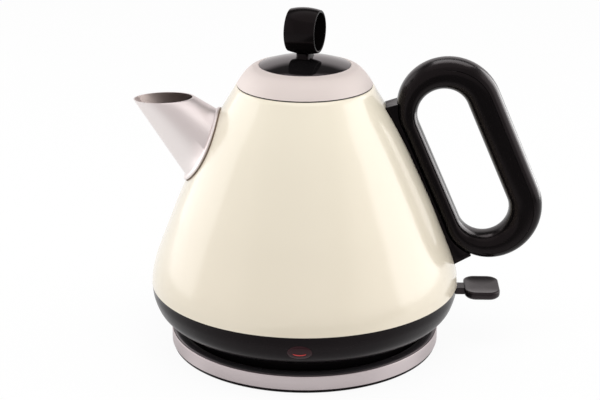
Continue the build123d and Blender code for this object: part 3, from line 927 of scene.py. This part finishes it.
# centre, direction outwards, thickness and groove share, once round the loop
def handleStations():
    top = Vector((handle["holeTop"][0], 0, handle["holeTop"][1]))
    bottom = Vector((handle["holeBottom"][0], 0, handle["holeBottom"][1]))
    lean = math.atan2(bottom.x - top.x, top.z - bottom.z)
    thin = handle["legThick"]
    thick = handle["gripThick"]
    arc = handle["arcSteps"]
    straight = handle["straightSteps"]

    def station(centre, turn, share, groove):
        way = Vector((-math.cos(turn), 0, -math.sin(turn)))
        deep = thin + (thick - thin) * math.sin(share ** handle["swell"] * math.pi / 2)
        return centre, way, deep, groove

    def fade(share, start):
        return max(0.0, min(1.0, (share - start) * handle["grooveFade"]))

    stations = []
    for step in range(arc):
        share = step / arc
        stations.append(station(top, lean - math.pi * share, share, fade(share, handle["grooveFrom"])))
    for step in range(straight):
        stations.append(station(top.lerp(bottom, step / straight), lean + math.pi, 1.0, 1.0))
    for step in range(arc):
        share = 1 - step / arc
        stations.append(station(bottom, lean + math.pi * share, share, fade(share, handle["grooveTo"])))
    for step in range(straight):
        stations.append(station(bottom.lerp(top, step / straight), lean, 0.0, 0.0))
    return stations


def makeHandle():
    stations = handleStations()
    grooveTurn = math.acos(handle["groovePlace"])
    nudges = [nudge * handle["grooveWide"] for nudge in (-1, 0, 1)]
    grooveTurns = [side * grooveTurn + nudge for side in (1, -1) for nudge in nudges]

    def clear(turn, groove):
        apart = abs(math.cos(turn) - math.cos(groove)) > handle["grooveClear"]
        return apart or math.sin(turn) * math.sin(groove) < 0

    turns = [math.tau * step / handle["turnSteps"] for step in range(handle["turnSteps"])]
    turns = [turn for turn in turns if all(clear(turn, groove) for groove in grooveTurns)]
    turns = sorted(turns + [groove % math.tau for groove in grooveTurns])
    power = 2 / handle["squareness"]

    # a soft oval, outer edge first, with a fine groove along the front and the back
    def place(stage, index):
        centre, way, deep, groove = stations[stage]
        turn = turns[index]
        across = math.copysign(abs(math.cos(turn)) ** power, math.cos(turn))
        side = math.copysign(abs(math.sin(turn)) ** power, math.sin(turn))
        notch = any(abs(turn - g % math.tau) < 1e-6 for g in (grooveTurn, -grooveTurn))
        sink = 1 - notch * groove * handle["grooveDeep"] * 2 / handle["width"]
        out = handle["holeRadius"] + deep / 2 + across * sink * deep / 2
        return centre + way * out + Vector((0, side * sink * handle["width"] / 2, 0))

    bm = pullRings(len(turns), len(stations), place, closed=True)
    finishPiece(bm, "handleLoop", "kettle", "handleBlack", ("handle_front", "handle_back"))


makeHandle()
smoothCopy("handle_bracket", "handleBracket", "kettle", "satinBlack", rounding=0.5)
print("handle made")

# switch lever with a dished paddle; the rings give size and height, from below and from the top
switch = {
    "pivot": (77.0, 35.0),
    "paddle": (101.6, 123.8),
    "wide": 30.0,
    "corner": 7.0,
    "top": 38.0,
    "thick": 6.0,
    "lowRings": [(0.55, 0.0), (0.75, 0.25), (0.90, 0.9), (0.98, 2.0), (1.0, 3.2)],
    "topRings": [
        (1.0, 0.9), (0.985, 0.4), (0.95, 0.05), (0.90, 0.1), (0.80, 0.45), (0.62, 0.85), (0.40, 1.05), (0.18, 1.12),
    ],
    "arm": (9.0, 4.4),
    "armReach": 4.0,
    "hubRadius": 3.4,
    "pinRadius": 1.56,
}


def makeSwitch():
    inner, outer = switch["paddle"]
    top = switch["top"]
    low = top - switch["thick"]
    outline = roundedOutline(outer - inner, switch["wide"], switch["corner"], 10)
    rings = [(size, low + rise) for size, rise in switch["lowRings"]]
    rings += [(size, top - drop) for size, drop in switch["topRings"]]
    middle = (inner + outer) / 2

    def place(stage, index):
        size, height = rings[stage]
        x, y = outline[index]
        return Vector((middle + x * size, y * size, height))

    bm = pullRings(len(outline), len(rings), place)
    piece = finishPiece(bm, "switchLever", "switch", "leverGrey", ("switch_lever",), sharp=50)
    px, pz = switch["pivot"]
    wide, thick = switch["arm"]
    armLow = (px, -wide / 2, pz - thick / 2)
    armHigh = (inner + switch["armReach"], wide / 2, pz + thick / 2)
    hub = barTool("leverHub", (px, 0, pz), switch["hubRadius"], wide)
    combine(piece, [boxTool("leverArm", armLow, armHigh), hub], "UNION")
    combine(piece, [barTool("pinBore", (px, 0, pz), switch["pinRadius"], wide * 2)])


makeSwitch()
print("switch made")

# round power base with its steel band
base = {
    "trayRadius": 84.35,
    "bandRadius": 85.1,
    "bandLow": 2.8,
    "bandHigh": 11.7,
    "bandEdge": 0.3,
    "gap": 0.05,
    "rimHigh": 13.0,
    "rimInner": 78.0,
    "dishFloor": 9.0,
    "dishSlope": [(0.9, 0.6), (1.8, 0.0)],
    "wall": 2.2,
    "coverRadius": 84.4,
    "coverLow": 0.6,
    "coverRound": 0.8,
    "foot": (64.05, 71.95, 1.35),
    "footEdge": 0.3,
    "inletPlace": (0, 84, 7.2),
    "inletRadius": 4.2,
    "inletLength": 12.0,
}


def inletTool(name):
    return barTool(name, base["inletPlace"], base["inletRadius"], base["inletLength"])


def makeBase():
    radius = base["trayRadius"]
    low = base["bandLow"]
    high = base["bandHigh"]
    rise = base["rimHigh"] - high
    span = (radius - base["rimInner"]) / 2
    arch = roundLine((0, 0), 1.0, 0, 180, 14)
    rim = [(base["rimInner"] + span + span * x, high + rise * z) for x, z in arch]
    floorHigh = base["dishFloor"]
    slope = [(base["rimInner"] - across, floorHigh + up) for across, up in base["dishSlope"]]
    under = floorHigh - base["wall"]
    inside = radius - base["wall"]
    bm = spinSection([(radius, low), *rim, *slope, (0, floorHigh), (0, under), (inside, under), (inside, low)])
    tray = finishPiece(bm, "baseTray", "power_base", "trayBlack", ("base_tray",), sharp=50)
    combine(tray, [inletTool("trayInlet")], sharp=50)

    gap = base["gap"]
    outer = base["bandRadius"]
    inner = radius + gap
    edge = base["bandEdge"]
    lowRound = roundLine((outer - edge, low + edge), edge, -90, 0, 4)
    highRound = roundLine((outer - edge, high - edge), edge, 0, 90, 4)
    bm = spinSection(lowRound + highRound + [(inner, high), (inner, low)])
    band = finishPiece(bm, "baseBand", "power_base", "bandSteel", ("base_band",), sharp=50)
    combine(band, [inletTool("bandInlet")], sharp=50)

    size = base["coverRadius"]
    bottom = base["coverLow"]
    corner = base["coverRound"]
    ringIn, ringOut, ringTop = base["foot"]
    grooveIn, grooveOut, grooveTop = ringIn - gap, ringOut + gap, ringTop + gap
    groove = [(grooveIn, bottom), (grooveIn, grooveTop), (grooveOut, grooveTop), (grooveOut, bottom)]
    cornerLine = roundLine((size - corner, bottom + corner), corner, -90, 0, 6)
    bm = spinSection([(0, bottom), *groove, *cornerLine, (size, low), (0, low)])
    finishPiece(bm, "baseCover", "power_base", "satinBlack", ("base_cover",), sharp=50)

    edge = base["footEdge"]
    sole = [(ringIn, edge), (ringIn + edge, 0), (ringOut - edge, 0), (ringOut, edge)]
    bm = spinSection(sole + [(ringOut, ringTop), (ringIn, ringTop)])
    finishPiece(bm, "footRing", "power_base", "footRubber", ("anti_slip_ring",), sharp=50)


makeBase()
print("power base made")

# pieces that keep the solids' shapes
smoothCopy("base_connector", "plugTower", "power_base", "satinBlack")
smoothCopy("cord_grommet", "leadInlet", "power_base", "footRubber", rounding=0.2)
smoothCopy("spout_strainer", "spoutStrainer", "kettle", "innerSteel", rounding=0.1)
smoothCopy("kettle_connector", "plugSocket", "kettle", "satinBlack")
smoothCopy("water_floor", "chamberFloor", "kettle", "innerSteel", rounding=0.2)
smoothCopy("steam_tube", "steamTube", "kettle", "innerPlastic", rounding=0.2)
smoothCopy("lid_liner", "lidLiner", "lid", "innerPlastic", rounding=0.25)
nodeFinish = {
    "base_screws": "innerSteel",
    "base_contacts": "contactBrass",
    "lamp_bulb": "lampGlow",
    "skirt_screws": "innerSteel",
    "heat_spreader": "castAluminium",
    "heating_element": "innerSteel",
    "socket_contacts": "contactBrass",
    "thermostat_control": "innerPlastic",
    "switch_housing": "innerPlastic",
    "bimetal_disc": "contactBrass",
    "switch_pin": "innerSteel",
    "handle_bolts": "innerSteel",
    "knob_screw": "innerSteel",
    "lid_seal": "softSilicone",
}
for name, finish in nodeFinish.items():
    materials = frame["nodes"][name].data.materials
    materials.clear()
    materials.append(finishes[finish])
print("inner pieces finished:", len(nodeFinish))

# white studio; a pair of limits is where something starts and is full
ground = {
    "size": 6.0,
    "color": (0.82, 0.82, 0.82),
    "drift": 1.02,
    "grain": 80.0,
    "rough": 0.9,
    "white": 0.93,  # as the camera sees it
    "mirror": 0.6,  # as glossy surfaces see it
    "nearLimits": (0.17, 0.13),
    "nearDim": 0.30,
    "nearGlow": 0.80,
    "nearSlant": 0.12,
    "patchFront": (-0.080, -0.060),
    "patchBack": (-0.03, -0.055),
    "farShade": 0.85,
    "shadeFront": (-0.10, -0.28),
    "shadeRight": (-0.20, -0.05),
}
sky = {
    "fill": 0.715,
    "darkest": 0.10,
    "mirrorTint": (1.0, 0.945, 0.95),
    "backLight": 1.0,
    "backLimits": (-0.15, 0.35),
    "sweepLimits": (0.62, 0.40),
    "overLight": 1.15,
    "overLimits": (0.71, 0.87),
    "frontLight": 0.75,
    "frontLimits": (0.1, -0.3),
    "rightShade": 0.4,
    "rightLimits": (0.2, 0.7),
    "sideLight": 1.0,
    "sideLimits": (0.3, 0.8),
}
view = {
    "place": (0.0298, -0.9487, 0.4246), "pitch": 19.23, "heading": 1.98,
    "lens": 96.0, "sensor": 36.0, "near": 0.01,
}
softBoxes = {
    "rightBox": {"place": (1.05, 0.13, 0.42), "aim": (0, 0, 0.10), "size": (1.05, 0.95), "power": 5.7},
    "leftBox": {"place": (-0.95, 0.33, 0.42), "aim": (0, 0, 0.10), "size": (1.0, 0.95), "power": 3.9},
    "topBox": {
        "place": (0.0, -0.25, 1.15), "aim": (0, 0, 0.10), "size": (0.80, 0.60), "power": 5.0, "mirrored": False,
    },
}
pieceCards = {  # small cards that one piece alone mirrors
    "crestCard": {
        "piece": "handleLoop",
        "place": (0.115, 0.10, 0.363), "aim": (0.085, 0, 0.19), "size": (0.22, 0.12), "power": 0.40,
    },
    "edgeCard": {
        "piece": "handleLoop",
        "place": (0.27, 0.13, 0.17), "aim": (0.13, 0, 0.14), "size": (0.14, 0.22), "power": 0.50,
    },
    "spoutCard": {
        "piece": "spoutCone",
        "place": (0.40, -0.22, 0.44), "aim": (-0.07, 0, 0.14), "size": (0.42, 0.46), "power": 0.9,
    },
    "lidCard": {
        "piece": "lidDome",
        "place": (0.0, -0.42, 0.62), "aim": (0, 0, 0.17), "size": (0.25, 0.35), "power": 0.8,
    },
}


def makeFloor():
    bm = bmesh.new()
    bmesh.ops.create_grid(bm, x_segments=2, y_segments=2, size=ground["size"])
    floor = meshObject(bm, "studioFloor")
    material, tree, shader = newMaterial("studioFloor", Roughness=ground["rough"])
    mask = placeGroup(tree, grainGroup, Scale=ground["grain"])["Mask"]
    pale = ground["color"]
    paler = tuple(c * ground["drift"] for c in pale)
    linkNodes(tree, tintBetween(tree, mask, pale, paler), shader.inputs["Base Color"])
    path = addNode(tree, "LightPath")
    glossy = path.outputs["Is Glossy Ray"]
    place = objectPlace(tree)
    x, y, z = splitPlace(tree, place)
    # close to the base the band mirrors a dim floor with two paler patches beside it
    away = addNode(tree, "VectorMath", operation="LENGTH")
    linkNodes(tree, place, away.inputs[0])
    near = softStep(tree, away.outputs["Value"], *ground["nearLimits"])
    slant = mathNode(tree, "MULTIPLY_ADD", x, ground["nearSlant"], y)
    patchFront = softStep(tree, slant, *ground["patchFront"])
    patches = times(tree, patchFront, softStep(tree, y, *ground["patchBack"]))
    change = mathNode(tree, "MULTIPLY_ADD", patches, ground["nearGlow"], -ground["nearDim"])
    tone = mathNode(tree, "MULTIPLY_ADD", near, change, 1.0)
    mirrored = times(tree, times(tree, glossy, ground["mirror"]), tone)
    seen = larger(tree, times(tree, path.outputs["Is Camera Ray"], ground["white"]), mirrored)
    shadeFront = softStep(tree, y, *ground["shadeFront"])
    beyond = times(tree, shadeFront, softStep(tree, x, *ground["shadeRight"]))
    shade = times(tree, times(tree, beyond, glossy), ground["farShade"])
    white = addNode(tree, "Emission")
    dark = addNode(tree, "Emission")
    dark.inputs["Color"].default_value = (0, 0, 0, 1)
    surface = shader.outputs[0]
    for share, light in ((seen, white), (shade, dark)):
        mix = addNode(tree, "MixShader")
        linkNodes(tree, share, mix.inputs[0])
        linkNodes(tree, surface, mix.inputs[1])
        linkNodes(tree, light.outputs[0], mix.inputs[2])
        surface = mix.outputs[0]
    linkNodes(tree, surface, tree.nodes["Material Output"].inputs["Surface"])
    floor.data.materials.append(material)


# even light on the object, and a studio with brighter and darker sides in reflections
def makeWorld():
    world = bpy.data.worlds.new("studioWorld")
    bpy.context.scene.world = world
    world.use_nodes = True
    tree = world.node_tree
    background = tree.nodes["Background"]
    x, y, z = splitPlace(tree, addNode(tree, "TexCoord").outputs["Generated"])
    behind = softStep(tree, y, *sky["backLimits"])
    sweep = times(tree, times(tree, behind, softStep(tree, z, *sky["sweepLimits"])), sky["backLight"])
    above = times(tree, softStep(tree, z, *sky["overLimits"]), sky["overLight"])
    toRight = softStep(tree, x, *sky["rightLimits"])
    dimmer = mathNode(tree, "MULTIPLY_ADD", toRight, -sky["rightShade"], sky["frontLight"])
    front = times(tree, softStep(tree, y, *sky["frontLimits"]), dimmer)
    beside = softStep(tree, mathNode(tree, "ABSOLUTE", x), *sky["sideLimits"])
    beside = times(tree, beside, sky["sideLight"])
    mirrored = larger(tree, larger(tree, sweep, above), larger(tree, front, beside))
    mirrored = larger(tree, mirrored, sky["darkest"])
    path = addNode(tree, "LightPath")
    glossy = larger(tree, path.outputs["Is Glossy Ray"], path.outputs["Is Transmission Ray"])
    fill = times(tree, mathNode(tree, "SUBTRACT", 1.0, glossy), sky["fill"])
    scattered = plus(tree, fill, times(tree, glossy, mirrored))
    strength = larger(tree, scattered, path.outputs["Is Camera Ray"])
    linkNodes(tree, tintBetween(tree, glossy, (1, 1, 1), sky["mirrorTint"]), background.inputs["Color"])
    linkNodes(tree, strength, background.inputs["Strength"])


def addLight(name, box):
    data = bpy.data.lights.new(name, "AREA")
    data.shape = "RECTANGLE"
    data.size, data.size_y = box["size"]
    data.energy = box["power"]
    light = addObject(name, data)
    light.location = box["place"]
    light.visible_glossy = box.get("mirrored", True)
    light.visible_camera = False
    light.rotation_mode = "QUATERNION"
    light.rotation_quaternion = (Vector(box["aim"]) - Vector(box["place"])).to_track_quat("-Z", "Y")
    return light


def makeLights():
    for name, box in softBoxes.items():
        addLight(name, box)
    for name, card in pieceCards.items():
        receiver = bpy.data.collections.new(name + "Only")
        receiver.objects.link(bpy.data.objects[card["piece"]])
        light = addLight(name, card)
        light.visible_diffuse = False
        light.light_linking.receiver_collection = receiver


def makeCamera():
    data = bpy.data.cameras.new("photoCamera")
    data.lens = view["lens"]
    data.sensor_width = view["sensor"]
    data.clip_start = view["near"]
    camera = addObject("photoCamera", data)
    camera.location = view["place"]
    camera.rotation_euler = (math.radians(90 - view["pitch"]), 0, math.radians(view["heading"]))
    bpy.context.scene.camera = camera


makeFloor()
makeWorld()
makeLights()
makeCamera()
bpy.context.scene.view_settings.view_transform = "Standard"
print("studio made")
